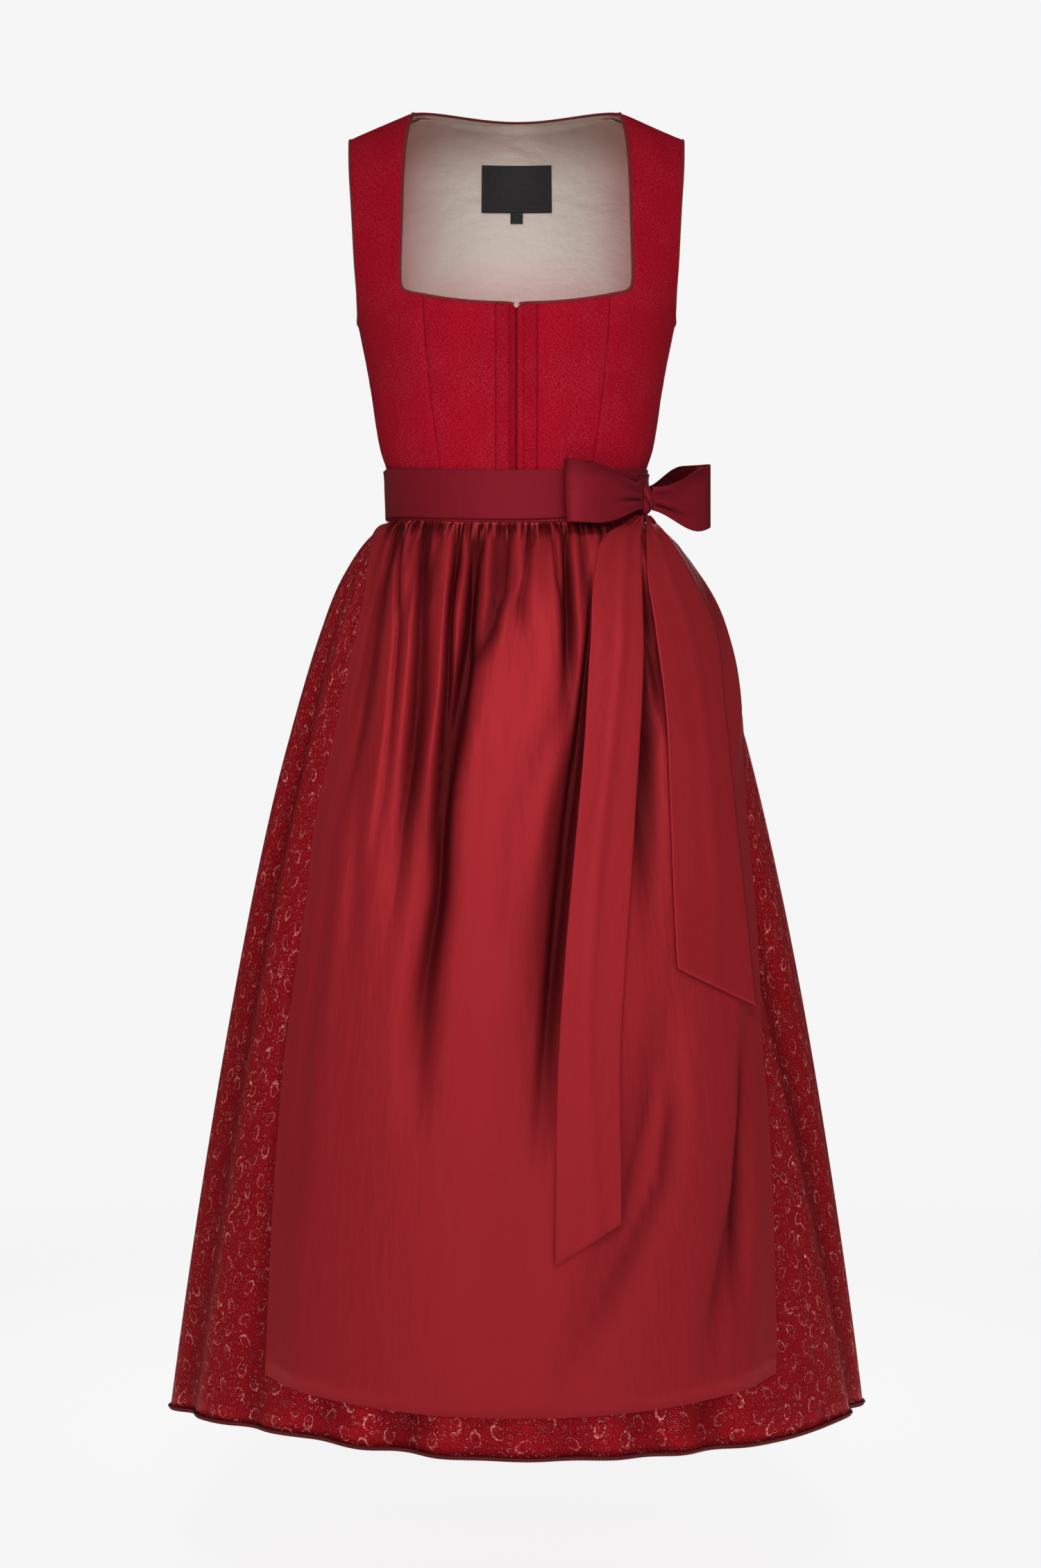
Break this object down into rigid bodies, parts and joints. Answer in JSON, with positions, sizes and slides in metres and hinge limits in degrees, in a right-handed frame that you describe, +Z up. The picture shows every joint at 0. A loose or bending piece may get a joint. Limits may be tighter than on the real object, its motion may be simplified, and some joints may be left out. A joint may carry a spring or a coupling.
{
  "type": "dirndl",
  "caption": "Sleeveless dirndl with a square neckline, fitted bodice, long gathered skirt, satin apron and a side bow, hollow and in its worn shape.",
  "frame": {"origin": "on the shoulder line, midway between the two straps, where the wearer holds the dress up", "axes": "+Z up, -Y towards the front of the dress, +X towards the wearer's left, where the bow sits"},
  "size_m": [0.696, 0.5564, 1.3143],
  "materials": {
    "bodice_wool": "matte heathered wool",
    "skirt_jacquard": "jacquard with a soft sheen",
    "apron_satin": "heavy satin, silky sheen",
    "lining_satin": "satin lining",
    "edge_cord": "twisted cord",
    "label_black": "woven ribbon"
  },
  "bodies": {
    "root": {"bodice_front_left": "bodice_wool", "bodice_front_right": "bodice_wool", "bodice_side_front_left": "bodice_wool", "bodice_side_front_right": "bodice_wool", "bodice_side_back_left": "bodice_wool", "bodice_side_back_right": "bodice_wool", "bodice_back": "bodice_wool", "lining_back": "lining_satin", "label": "label_black", "size_tab": "label_black", "neck_trim": "edge_cord", "armhole_trim_left": "edge_cord", "armhole_trim_right": "edge_cord", "skirt_front": "skirt_jacquard", "skirt_back_left": "skirt_jacquard", "skirt_back_right": "skirt_jacquard", "hem_trim": "edge_cord", "apron": "apron_satin", "apron_band": "apron_satin", "tie_wrap": "apron_satin", "bow_knot": "apron_satin", "bow_loop_front": "apron_satin", "bow_loop_side": "apron_satin", "bow_end_long": "apron_satin", "bow_end_short": "apron_satin"}
  },
  "joints": []
}
